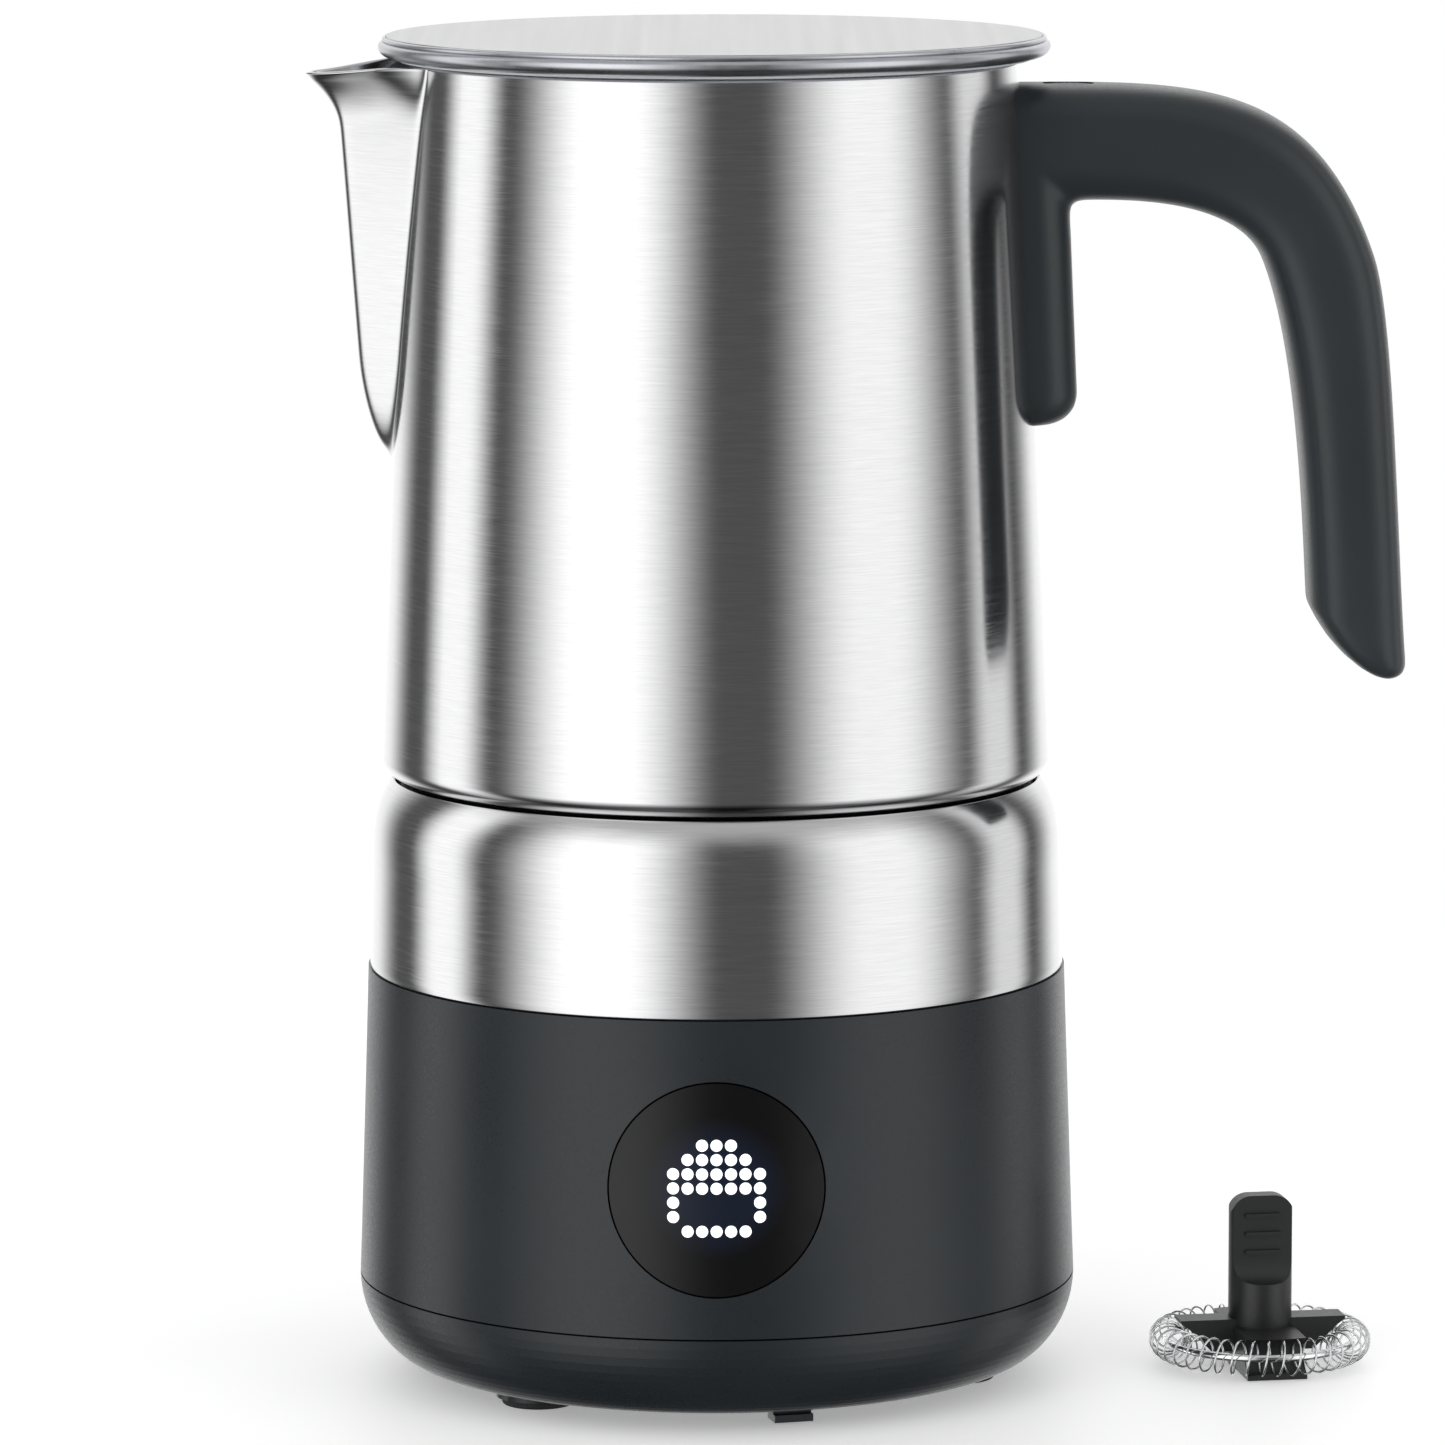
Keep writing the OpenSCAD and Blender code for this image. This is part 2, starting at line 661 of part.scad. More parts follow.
module handle_body() {
    rings = 30;
    half_w = handle_w / 2;
    power = 0.62;
    root_x = 46;
    root = handle_ring([root_x, bar_z - bar_t / 2], [root_x, bar_z + bar_t / 2], half_w, power);
    body = [for (k = [0:rings]) let (t = k / rings)
        handle_ring(along(palm_edge, t), along(back_edge, t), half_w, power)];
    tip = [for (ring = tip_rings) handle_ring(ring[0], ring[1], half_w * ring[2], power)];
    loft = concat([root], body, tip);
    n = ring_sides;
    last = len(loft) - 1;
    color(slate) difference() {
        union() {
            polyhedron(
                points = [for (ring = loft, p = ring) p],
                faces = concat(
                    [for (k = [0:last - 1], i = [0:n - 1]) let (j = (i + 1) % n)
                        [k * n + i, k * n + j, (k + 1) * n + j]],
                    [for (k = [0:last - 1], i = [0:n - 1]) let (j = (i + 1) % n)
                        [k * n + i, (k + 1) * n + j, (k + 1) * n + i]],
                    [[for (i = [n - 1:-1:0]) i]],
                    [[for (i = [0:n - 1]) last * n + i]]),
                convexity = 6);
            handle_upright();
        }
        jug_cone(0.05);
        // pocket for the bracket and its lug, the plug's hole and the screw's hole
        translate([45, -6.1, lug_z - 0.2]) cube([9.1, 12.2, 40.1]);
        translate([45, -6.1, lug_z - 0.2]) cube([12.1, 12.2, lug_h + 0.4]);
        translate([plug_x, 0, plug_z - 0.1]) cylinder(r = 4.2, h = 8);
        translate([handle_screw_x, 0, 150]) cylinder(r = 1.5, h = 20);
        translate([handle_screw_x, 0, 150]) cylinder(r = 2.4, h = lug_z - 151);
    }
}

// The upper part of the jug's round outer wall, moved out by d
module jug_cone(d) {
    low_z = 140;
    n = 8;
    wall_points = [for (i = [0:n]) let (z = low_z + (rim_z - low_z) * i / n) [wall_r(z) + d, z]];
    rotate_extrude($fn = 360) polygon(concat([[0, rim_z], [0, low_z]], wall_points));
}

// The part along the jug: a round-cornered slab that leans with the jug's wall
module handle_upright() {
    corner = 5.5;
    edge_r = 6;
    root_x = 40;
    half_w = handle_w / 2;
    lean = [[1, 0, -upright_lean, upright_lean * upright_z], [0, 1, 0, 0], [0, 0, 1, 0], [0, 0, 0, 1]];
    multmatrix(lean) intersection() {
        translate([0, half_w, 0]) rotate([90, 0, 0]) linear_extrude(handle_w) {
            translate([root_x, upright_z]) square([upright_x - root_x - corner, bar_z - upright_z]);
            translate([root_x, upright_z + corner])
                square([upright_x - root_x, bar_z - upright_z - corner]);
            translate([upright_x - corner, upright_z + corner]) circle(corner);
        }
        translate([0, 0, upright_z - 5]) linear_extrude(80) {
            translate([root_x, -half_w]) square([upright_x - root_x - edge_r, handle_w]);
            translate([root_x, edge_r - half_w]) square([upright_x - root_x, handle_w - 2 * edge_r]);
            for (y = [-1, 1]) translate([upright_x - edge_r, y * (half_w - edge_r)]) circle(edge_r);
        }
    }
}

// Steel strap welded to the jug inside the handle, with a lug for the screw
lug_z = 164.2;          // underside of the lug
lug_h = 6.8;
handle_screw_x = 55;

module handle_bracket() {
    color(steel) difference() {
        union() {
            translate([46, -6, lug_z]) cube([8, 12, 39.6]);
            translate([46, -6, lug_z]) cube([11, 12, lug_h]);
        }
        jug_cone(0.05);
        translate([handle_screw_x, 0, lug_z - 1]) cylinder(r = 1.35, h = lug_h + 2);
        translate([53, -7, 174]) cube([10, 14, 22]);
    }
}

// Screw from below through the handle into the lug
module handle_screws() {
    color(steel) translate([handle_screw_x, 0, lug_z]) {
        translate([0, 0, -2.8]) cylinder(r = 2.2, h = 1.6);
        translate([0, 0, -1.2]) cylinder(r = 1.3, h = 7.8);
    }
}

// Round plug over the top fixing of the handle, a little below the bar's top
plug_x = 57.5;
plug_z = bar_z + bar_t / 2 - 3.3;

module handle_plug() {
    color(black) translate([plug_x, 0, plug_z]) rotate_extrude() {
        square([4.15, 2.6]);
        square([3.7, 3.05]);
        translate([3.7, 2.6]) circle(0.45, $fn = 24);
    }
}

/* ---- lid ---- */

module lid_plate() {
    rim_mid_z = lid_z - 1.75;
    sheet = 0.9;
    color(steel) rotate_extrude() {
        translate([0, lid_z - sheet]) square([lid_r - 1.75, sheet]);
        difference() {
            translate([lid_r - 1.75, rim_mid_z]) circle(1.75, $fn = 48);
            translate([0, rim_mid_z - 4]) square([lid_r - 2.9, 4 + 0.85]);
        }
    }
}

// Grey silicone ring that plugs the jug's mouth and carries the lid
module lid_seal() {
    plug_r = 47.4;
    color([0.72, 0.74, 0.76]) rotate_extrude() {
        translate([plug_r - 2, rim_z - 4.5]) square([2, 4.9]);
        translate([plug_r - 2, rim_z + 0.35]) square([6.2, lid_z - 0.9 - rim_z - 0.35]);
        translate([plug_r - 2, rim_z - 2.4]) square([2.5, 1]);
    }
}

/* ---- whisks ---- */

// Upright grip with a scoop on both faces, three ribs and a bore for the bush
module whisk_grip() {
    r = 5.25;
    flat_y = 1.75;
    scoop_r = 4;
    scoop_z = 14.1;
    top_r = 3.3;
    bore_h = 13.2;
    difference() {
        intersection() {
            cylinder(r = r, h = whisk_h);
            translate([0, r, 0]) rotate([90, 0, 0]) linear_extrude(2 * r) {
                translate([-r, 0]) square([2 * r, whisk_h - top_r]);
                translate([top_r - r, 0]) square([2 * (r - top_r), whisk_h]);
                for (x = [-1, 1]) translate([x * (r - top_r), whisk_h - top_r]) circle(top_r);
            }
        }
        for (side = [0, 1]) mirror([0, side, 0]) {
            translate([-10, -10 - flat_y, scoop_z + scoop_r]) cube([20, 10, 30]);
            translate([-10, -10 - flat_y - scoop_r, scoop_z]) cube([20, 10, 30]);
            translate([-10, -flat_y - scoop_r, scoop_z + scoop_r]) rotate([0, 90, 0])
                cylinder(r = scoop_r, h = 20);
        }
        translate([0, 0, -1]) cylinder(r = 4.2, h = bore_h + 1);
    }
    for (i = [0:2], side = [-1, 1])
        translate([-2.9, side * (flat_y + 0.15) - 0.4, scoop_z + 4.75 + i * 3.07]) cube([5.8, 0.8, 0.55]);
}

magnet_x = 8.5;
magnet_r = 3;

// The four arms: two deep ones that hold magnets and two raised ones with slanted ends
module whisk_arms() {
    deep_reach = 13.8;
    deep_w = 10;
    raised_w = 5.3;
    for (a = [90, 270]) rotate(a) difference() {
        translate([0, -deep_w / 2, 0]) cube([deep_reach, deep_w, 6.7]);
        translate([magnet_x, 0, -1]) cylinder(r = magnet_r + fit_gap, h = 3.6);
        cylinder(r = 4.8, h = 20, center = true);
    }
    for (a = [0, 180]) rotate(a) difference() {
        translate([0, raised_w / 2, 0]) rotate([90, 0, 0]) linear_extrude(raised_w)
            polygon([[0, 2.6], [8.6, 2.6], [12.6, 6.6], [13.9, 7.5], [13.9, 8], [0, 8]]);
        cylinder(r = 4.8, h = 20, center = true);
    }
}

module whisk_magnets() {
    color(steel) for (a = [90, 270]) rotate(a) translate([magnet_x, 0, 0.3]) cylinder(r = magnet_r, h = 2.2);
}

module whisk_bush() {
    color([0.85, 0.85, 0.83]) translate([0, 0, 0.2]) tube(4.2 - fit_gap, pin_r + fit_gap, 11.7);
}

module stir_whisk() {
    color(black) translate([0, 0, stir_z]) {
        whisk_grip();
        whisk_arms();
    }
}

module stir_bush() {
    translate([0, 0, stir_z]) whisk_bush();
}

module stir_magnets() {
    translate([0, 0, stir_z]) whisk_magnets();
}

module at_spare() {
    translate([spare_x, 0, 0]) rotate(9) children();
}

coil_z = coil_r + 1;  // height of the ring above the floor
ring_wire_r = 0.65;
coil_wire_r = 0.15;

module froth_whisk() {
    color(black) at_spare() difference() {
        union() {
            whisk_grip();
            whisk_arms();
        }
        // groove for the ring and its coil in the end of each arm
        translate([0, 0, coil_z]) rotate_extrude() translate([ring_r, 0]) circle(coil_r + 0.3, $fn = 48);
    }
}

module froth_bush() {
    at_spare() whisk_bush();
}

module froth_magnets() {
    at_spare() whisk_magnets();
}

module froth_ring() {
    color(steel) at_spare() translate([0, 0, coil_z]) torus(ring_r, ring_wire_r);
}

// The wire coiled round the ring, each turn a closed loop
module froth_coil() {
    color(steel) at_spare() translate([0, 0, coil_z]) for (i = [0:coil_turns - 1])
        rotate(i * 360 / coil_turns) translate([ring_r, 0, 0]) rotate([90, 0, 0])
            torus(coil_r - coil_wire_r, coil_wire_r);
}

bottom_cover();
rubber_feet();
cover_screws();
body_shell();
steel_collar();
top_plate();
seal_ring();
cord_gland();
terminal_block();
power_board();
board_parts();
heat_sink();
power_transistor();
fan_frame();
fan_rotor();
motor_bracket();
bracket_screws();
motor_can();
motor_bearing();
drive_shaft();
drive_hub();
drive_magnets();
coil_carrier();
ferrite_bars();
induction_coil();
mica_disc();
sensor_guide();
sensor_spring();
sensor_cap();
inner_wires();
button_panel();
display_dots();
display_frame();
display_board();
display_leds();
led_shroud();
button_switches();
jug_shell();
jug_base_disc();
whisk_pin();
handle_bracket();
handle_body();
handle_screws();
handle_plug();
lid_plate();
lid_seal();
stir_bush();
stir_whisk();
stir_magnets();
froth_whisk();
froth_bush();
froth_magnets();
froth_ring();
froth_coil();
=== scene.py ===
# Induction milk frother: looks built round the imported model. Metres, in the model's own frame.
import math

import bmesh
import bpy
import numpy as np
from mathutils import Matrix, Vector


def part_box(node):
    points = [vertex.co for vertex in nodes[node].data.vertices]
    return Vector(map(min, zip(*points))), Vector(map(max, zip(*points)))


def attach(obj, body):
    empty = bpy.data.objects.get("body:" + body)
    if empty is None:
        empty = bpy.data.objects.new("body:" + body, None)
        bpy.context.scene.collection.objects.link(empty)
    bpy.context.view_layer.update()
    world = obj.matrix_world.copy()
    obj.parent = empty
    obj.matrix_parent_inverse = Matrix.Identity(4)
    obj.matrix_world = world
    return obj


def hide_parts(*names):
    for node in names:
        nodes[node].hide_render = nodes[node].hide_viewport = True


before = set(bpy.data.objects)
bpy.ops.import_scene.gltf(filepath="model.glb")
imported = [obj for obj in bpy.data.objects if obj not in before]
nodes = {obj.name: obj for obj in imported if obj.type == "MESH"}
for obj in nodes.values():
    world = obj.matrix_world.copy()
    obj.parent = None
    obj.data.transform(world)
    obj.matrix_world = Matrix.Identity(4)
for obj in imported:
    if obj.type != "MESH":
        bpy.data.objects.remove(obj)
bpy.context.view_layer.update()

MM = 0.001
scene = bpy.context.scene


# ---------------------------------------------------------------- mesh helpers

def mesh_object(name, points, faces, body, material, smooth=True):
    """A mesh from points in millimetres that rides on a body."""
    mesh = bpy.data.meshes.new(name)
    corners = [tuple(float(c) * MM for c in p) for p in points]
    mesh.from_pydata(corners, [], [tuple(int(i) for i in f) for f in faces])
    mesh.validate()
    mesh.update()
    obj = bpy.data.objects.new(name, mesh)
    scene.collection.objects.link(obj)
    if smooth:
        mesh.polygons.foreach_set("use_smooth", [True] * len(mesh.polygons))
    bm = bmesh.new()
    bm.from_mesh(mesh)
    bmesh.ops.recalc_face_normals(bm, faces=bm.faces)
    bm.to_mesh(mesh)
    bm.free()
    if material:
        mesh.materials.append(material)
    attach(obj, body)
    return obj


def tube_faces(rows, cols, closed_rows=False, cap=True):
    """Faces of a grid of rows by cols points whose columns close on themselves."""
    faces = []
    for k in range(rows if closed_rows else rows - 1):
        k2 = (k + 1) % rows
        for i in range(cols):
            j = (i + 1) % cols
            faces.append((k * cols + i, k * cols + j, k2 * cols + j, k2 * cols + i))
    if cap and not closed_rows:
        faces.append(tuple(range(cols))[::-1])
        faces.append(tuple((rows - 1) * cols + i for i in range(cols)))
    return faces


def lathe(name, profile, body, material, steps=192, centre=(0, 0)):
    """Turns a profile of (radius, height) about Z. A point on the axis becomes one vertex."""
    points, rings = [], []
    for r, z in profile:
        if r < 1e-6:
            rings.append([len(points)])
            points.append((centre[0], centre[1], z))
        else:
            rings.append(list(range(len(points), len(points) + steps)))
            points += [(centre[0] + r * math.cos(2 * math.pi * i / steps),
                        centre[1] + r * math.sin(2 * math.pi * i / steps), z) for i in range(steps)]
    faces = []
    pairs = list(zip(rings, rings[1:]))
    if len(rings[0]) > 1:
        pairs.append((rings[-1], rings[0]))
    for a, b in pairs:
        for i in range(steps):
            j = (i + 1) % steps
            if len(a) == 1 and len(b) == 1:
                break
            if len(a) == 1:
                faces.append((a[0], b[j], b[i]))
            elif len(b) == 1:
                faces.append((a[i], a[j], b[0]))
            else:
                faces.append((a[i], a[j], b[j], b[i]))
    return mesh_object(name, points, faces, body, material)


def applied(obj, *modifiers):
    """Adds modifiers given as (type, settings) and makes them part of the mesh."""
    for kind, settings in modifiers:
        m = obj.modifiers.new(kind.title(), kind)
        for key, value in settings.items():
            setattr(m, key, value)
    bpy.context.view_layer.update()
    evaluated = obj.evaluated_get(bpy.context.evaluated_depsgraph_get())
    mesh = bpy.data.meshes.new_from_object(evaluated)
    obj.modifiers.clear()
    obj.data = mesh
    return obj


def sharp_by_angle(obj, degrees):
    """Smooth shading that keeps edges steeper than an angle sharp."""
    mesh = obj.data
    mesh.polygons.foreach_set("use_smooth", [True] * len(mesh.polygons))
    mesh.set_sharp_from_angle(angle=math.radians(degrees))


# ---------------------------------------------------------------- materials

class Graph:
    """A node material with one Principled shader."""

    def __init__(self, name, **sockets):
        self.material = bpy.data.materials.new(name)
        self.material.use_nodes = True
        self.tree = self.material.node_tree
        self.tree.nodes.clear()
        out = self.tree.nodes.new("ShaderNodeOutputMaterial")
        self.shader = self.tree.nodes.new("ShaderNodeBsdfPrincipled")
        self.tree.links.new(self.shader.outputs[0], out.inputs[0])
        for key, value in sockets.items():
            self.shader.inputs[key.replace("_", " ")].default_value = value

    def add(self, kind, inputs=(), **settings):
        node = self.tree.nodes.new("ShaderNode" + kind)
        for key, value in settings.items():
            setattr(node, key, value)
        for socket, value in dict(inputs).items():
            if hasattr(value, "is_output"):
                self.tree.links.new(value, node.inputs[socket])
            else:
                node.inputs[socket].default_value = value
        return node

    def place(self, scale=(1, 1, 1)):
        """Object coordinates, stretched."""
        at = self.add("TexCoord")
        return self.add("Mapping", {0: at.outputs["Object"], 3: scale}).outputs[0]

    def noise(self, vector, scale, detail=2.0, rough=0.5):
        inputs = {"Vector": vector, "Scale": scale, "Detail": detail, "Roughness": rough}
        return self.add("TexNoise", inputs).outputs[0]

    def span(self, value, low, high, start=0.3, end=0.7):
        """Spreads a value from start..end over low..high."""
        return self.add("MapRange", {"Value": value, "From Min": start, "From Max": end,
                                     "To Min": low, "To Max": high}).outputs[0]

    def math(self, operation, a, b=0.0):
        return self.add("Math", {0: a, 1: b}, operation=operation).outputs[0]

    def mix(self, factor, a, b):
        node = self.add("Mix", data_type="RGBA")
        for socket, value in ((0, factor), (6, a), (7, b)):
            if hasattr(value, "is_output"):
                self.tree.links.new(value, node.inputs[socket])
            else:
                node.inputs[socket].default_value = value
        return node.outputs[2]

    def bump(self, height, distance, strength=1.0):
        node = self.add("Bump", {"Height": height, "Distance": distance, "Strength": strength})
        self.tree.links.new(node.outputs[0], self.shader.inputs["Normal"])

    def feed(self, socket, value):
        self.tree.links.new(value, self.shader.inputs[socket])


def shade(*rgb):
    """An sRGB colour of 0..255 as linear values with alpha."""
    return tuple((c / 255 / 12.92) if c <= 10 else ((c / 255 + 0.055) / 1.055) ** 2.4 for c in rgb) + (1.0,)


def moulded(name, rgb, roughness, grain=0.000004, scale=2600, spread=0.12, **sockets):
    """Moulded plastic or rubber: fine spark-eroded grain, faint flow shade and handling wear in its gloss."""
    g = Graph(name, **sockets)
    where = g.place()
    fine = g.noise(where, scale, 3)
    broad = g.noise(where, 22, 3)
    tint = shade(*rgb)
    paler = tuple(min(1, c * 1.18 + 0.002) for c in tint[:3]) + (1,)
    g.feed("Base Color", g.mix(g.span(broad, 0, 1), tint, paler))
    g.feed("Roughness", g.math("ADD", g.span(broad, roughness - 0.03, roughness + 0.03),
                               g.span(fine, -spread / 2, spread / 2)))
    g.bump(fine, grain)
    return g.material


def brushed(name, rgb, roughness, stretch=(14, 14, 2600), anisotropy=0.8, depth=0.0000035, **sockets):
    """Brushed metal with its grain along the stretched directions, and its highlight drawn out across it."""
    g = Graph(name, Metallic=1.0, Anisotropic=anisotropy, **sockets)
    where = g.place(stretch)
    grain = g.noise(where, 1.0, 4, 0.6)
    long_grain = g.noise(g.place(tuple(s * 0.3 for s in stretch)), 1.0, 2)
    tint = shade(*rgb)
    darker = tuple(c * 0.88 for c in tint[:3]) + (1,)
    g.feed("Base Color", g.mix(g.span(grain, 0, 1), darker, tint))
    g.feed("Roughness", g.math("ADD", g.span(grain, roughness - 0.035, roughness + 0.035),
                               g.span(long_grain, -0.02, 0.02)))
    g.bump(grain, depth)
    tangent = g.add("Tangent", direction_type="RADIAL", axis="Z")
    g.feed("Tangent", tangent.outputs[0])
    g.shader.inputs["Anisotropic Rotation"].default_value = 0.25
    return g.material


slate = moulded("slate_plastic", (30, 35, 39), 0.32, Specular_IOR_Level=0.35)
handle_slate = moulded("handle_plastic", (41, 46, 49), 0.36, Specular_IOR_Level=0.35)
rubber = moulded("black_rubber", (24, 24, 25), 0.7)
black = moulded("black_plastic", (22, 22, 23), 0.45)
whisk_black = moulded("whisk_plastic", (30, 31, 32), 0.42)
pale = moulded("pale_plastic", (222, 222, 218), 0.45)
board = moulded("circuit_board", (20, 74, 44), 0.4, scale=900)
silicone = moulded("grey_silicone", (196, 200, 204), 0.5)
sleeve = moulded("wire_sleeve", (120, 30, 28), 0.5)
mica = moulded("mica_sheet", (190, 175, 140), 0.35, scale=500)
ferrite = moulded("ferrite", (44, 44, 46), 0.6, scale=1800)
steel = brushed("brushed_steel", (207, 207, 208), 0.15, stretch=(150, 150, 5200), anisotropy=0.6,
                depth=0.0000008)
lid_metal = brushed("lid_steel", (192, 192, 193), 0.34, stretch=(1400, 14, 14), anisotropy=0.0)
rim_metal = brushed("lid_rim_steel", (192, 193, 198), 0.3, stretch=(300, 300, 900), anisotropy=0.0)
bright = brushed("polished_steel", (232, 233, 234), 0.1, stretch=(900, 900, 900), anisotropy=0.0)
zinc = brushed("zinc_steel", (190, 190, 186), 0.35, stretch=(500, 500, 500), anisotropy=0.0)
aluminium = brushed("aluminium", (200, 201, 203), 0.32, stretch=(900, 60, 60), anisotropy=0.0)
bronze = brushed("bronze", (170, 128, 70), 0.35, stretch=(600, 600, 600), anisotropy=0.0)
copper = brushed("copper_wire", (190, 104, 58), 0.3, stretch=(600, 600, 600), anisotropy=0.0)
magnet = brushed("plated_magnet", (176, 176, 180), 0.25, stretch=(700, 700, 700), anisotropy=0.0)

# Glossy button panel with a painted glow: a soft blue light is painted onto the panel round the display dots.
# It is full within 6.5 mm of their centre and fades out by 11.5 mm. The panel itself is no lamp.
g = Graph("panel_painted_glow", Specular_IOR_Level=0.3)
where = g.add("TexCoord").outputs["Object"]
fine = g.noise(g.place(), 2600, 3)
low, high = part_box("display_dots")
spot = [(a + b) / 2 for a, b in zip(low, high)]
away = g.add("VectorMath", {0: where, 1: (spot[0], 0, spot[2])}, operation="SUBTRACT").outputs[0]
flat = g.add("VectorMath", {0: away, 1: (1, 0, 1)}, operation="MULTIPLY").outputs[0]
reach = g.add("VectorMath", {0: flat}, operation="LENGTH").outputs["Value"]
g.feed("Base Color", g.mix(g.span(fine, 0, 1), shade(12, 12, 13), shade(15, 15, 16)))
g.feed("Roughness", g.span(fine, 0.19, 0.22))
g.shader.inputs["Emission Color"].default_value = (0.22, 0.42, 1.0, 1)
g.feed("Emission Strength", g.span(reach, 0.02, 0.0, 0.0065, 0.0115))
g.bump(fine, 0.0000006)
gloss = g.material

g = Graph("display_light", Roughness=0.5)
spots = g.noise(g.place(), 1500, 2)
glow = g.mix(g.span(spots, 0, 1), (0.80, 0.90, 1.0, 1), (0.95, 0.98, 1.0, 1))
g.feed("Base Color", glow)
g.feed("Emission Color", glow)
g.shader.inputs["Emission Strength"].default_value = 0.9
display_light = g.material

BY_NODE = {
    slate: ("bottom_cover", "body_shell"),
    handle_slate: ("handle_body",),
    rubber: ("rubber_feet", "cord_gland", "seal_ring"),
    black: ("top_plate", "fan_frame", "fan_rotor", "display_frame", "led_shroud", "button_switches",
            "coil_carrier",
            "board_parts", "power_transistor", "drive_hub", "handle_plug", "sensor_guide"),
    whisk_black: ("froth_whisk", "stir_whisk"),
    pale: ("terminal_block", "display_leds", "froth_bush", "stir_bush"),
    board: ("power_board", "display_board"),
    gloss: ("button_panel",),
    silicone: ("lid_seal",),
    sleeve: ("inner_wires",),
    mica: ("mica_disc",),
    ferrite: ("ferrite_bars",),
    steel: ("steel_collar", "jug_shell"),
    lid_metal: ("lid_plate",),
    bright: ("whisk_pin", "drive_shaft", "froth_ring", "froth_coil", "sensor_cap"),
    zinc: ("cover_screws", "bracket_screws", "handle_screws", "motor_can", "motor_bracket", "jug_base_disc",
           "handle_bracket", "sensor_spring"),
    aluminium: ("heat_sink",),
    bronze: ("motor_bearing",),
    copper: ("induction_coil",),
    magnet: ("drive_magnets", "stir_magnets", "froth_magnets"),
    display_light: ("display_dots",),
}
for material, names in BY_NODE.items():
    for name in names:
        obj = nodes[name]
        obj.data.materials.clear()
        obj.data.materials.append(material)
        sharp_by_angle(obj, 32)


# ---------------------------------------------------------------- the base

SEAM_Z, BASE_R, BAND_Z, BAND_R, COVER_Z, FOOT_R = 16.5, 59.0, 67.8, 57.3, 2.9, 50.2
SHOULDER_Z, COLLAR_TOP_Z, SHEET = 84.5, 99.5, 0.8


def collar_r(z):
    if z < SHOULDER_Z:
        return 57.0 - 0.4 * (z - BAND_Z) / (SHOULDER_Z - BAND_Z)
    return 56.6 - 3.6 * ((z - SHOULDER_Z) / (COLLAR_TOP_Z - SHOULDER_Z)) ** 3.2


low = BAND_Z + 0.1
outer = [(57.0 - 0.25, low), (57.0 - 0.06, low + 0.08), (57.0, low + 0.3)]
outer += [(collar_r(z), z) for z in np.linspace(low + 1.5, SHOULDER_Z, 12)]
roll = COLLAR_TOP_Z - SHOULDER_Z
outer += [(collar_r(z), z) for z in SHOULDER_Z + roll * np.sin(np.linspace(0.02, 0.44, 56) * math.pi)]
inner = [(r - SHEET, SHOULDER_Z + (z - SHOULDER_Z) * (roll - 0.7) / roll) for r, z in outer[:13:-3]]
inner += [(57.0 - SHEET, SHOULDER_Z), (57.0 - SHEET, low)]
collar = lathe("collar", outer + inner, "base", steel)
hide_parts("steel_collar")


# ---------------------------------------------------------------- the jug

JUG_Z, RIM_Z, JUG_R, RIM_R, CORNER_R, WALL, BOW = 97.9, 216.2, 54.8, 49.4, 6.5, 1.0, 0.25
SPOUT_Z, SPOUT_FULL_Z, SPOUT_LIP_Z, NOSE_R = 152.0, 168.0, 206.0, 3.8
CORNER_W, CORNER_H = 9.2, 4.6


def wall_r(z):
    t = (z - JUG_Z - CORNER_R) / (RIM_Z - JUG_Z - CORNER_R)
    return JUG_R + (RIM_R - JUG_R) * t + BOW * math.sin(math.pi * t)


def spout_grow(z):
    return 1.0 if z >= SPOUT_FULL_Z else 0.0 if z <= SPOUT_Z else math.sqrt(
        1 - ((SPOUT_FULL_Z - z) / (SPOUT_FULL_Z - SPOUT_Z)) ** 2)


def beak_r(z, a):
    """Radius of the jug at height z and angle a (radians) from the middle of the spout."""
    r, grow = wall_r(z), spout_grow(z)
    if grow < 0.02:
        return r
    p = grow * (6.3 + (z - SPOUT_FULL_Z) * 0.125)
    flare = 0.053 * (z - SPOUT_LIP_Z) ** 2 if z > SPOUT_LIP_Z else 0
    w = grow * (10 + (z - SPOUT_FULL_Z) * 0.165)
    q = min(NOSE_R, 0.5 * w)
    ax, c, f = math.sqrt(r * r - w * w), r + max(p, 0.5 * q) - q, abs(a)
    dx = c - ax
    t = math.atan2(-w, dx) + math.asin(q / math.hypot(dx, w))
    nx, ny = c + q * math.cos(t + math.pi / 2), q * math.sin(t + math.pi / 2)
    edge = math.atan2(w, ax)
    if f >= edge:
        return r
    lip = flare * (1 - (f / edge) ** 2.2)
    if f <= math.atan2(ny, nx):
        return lip + c * math.cos(f) + math.sqrt(max(0, q * q - (c * math.sin(f)) ** 2))
    across = math.cos(f) * math.sin(t) - math.sin(f) * math.cos(t)
    return lip + (ax * math.sin(t) - w * math.cos(t)) / across


def blurred(field, sigma, axis):
    """A Gaussian blur along one axis, edges held."""
    reach = int(3 * sigma) + 1
    kernel = np.exp(-0.5 * (np.arange(-reach, reach + 1) / sigma) ** 2)
    kernel /= kernel.sum()
    padded = np.pad(field, [(reach, reach) if k == axis else (0, 0) for k in range(2)], mode="edge")
    return np.apply_along_axis(lambda v: np.convolve(v, kernel, mode="valid"), axis, padded)


fine = np.radians(np.arange(-36, 36.01, 0.5))
coarse = np.radians(np.linspace(36, 324, 145)[1:-1])
angles = np.concatenate([fine, coarse])
SPOUT_ROWS_Z, RIM_ROW_Z = 148, RIM_Z - 0.4
plain_rows = np.linspace(JUG_Z + CORNER_H, SPOUT_ROWS_Z, 32)[1:-1]
heights = np.concatenate([plain_rows, np.arange(SPOUT_ROWS_Z, RIM_ROW_Z, 0.75), [RIM_ROW_Z]])
radii = np.array([[beak_r(z, a) for a in fine] for z in heights])
radii = blurred(blurred(radii, 1.5, 1), 1.2, 0)
radii = np.concatenate([radii, np.array([[wall_r(z)] * len(coarse) for z in heights])], axis=1)
slope = np.gradient(radii[:, :len(fine)], fine, axis=1) / radii[:, :len(fine)]
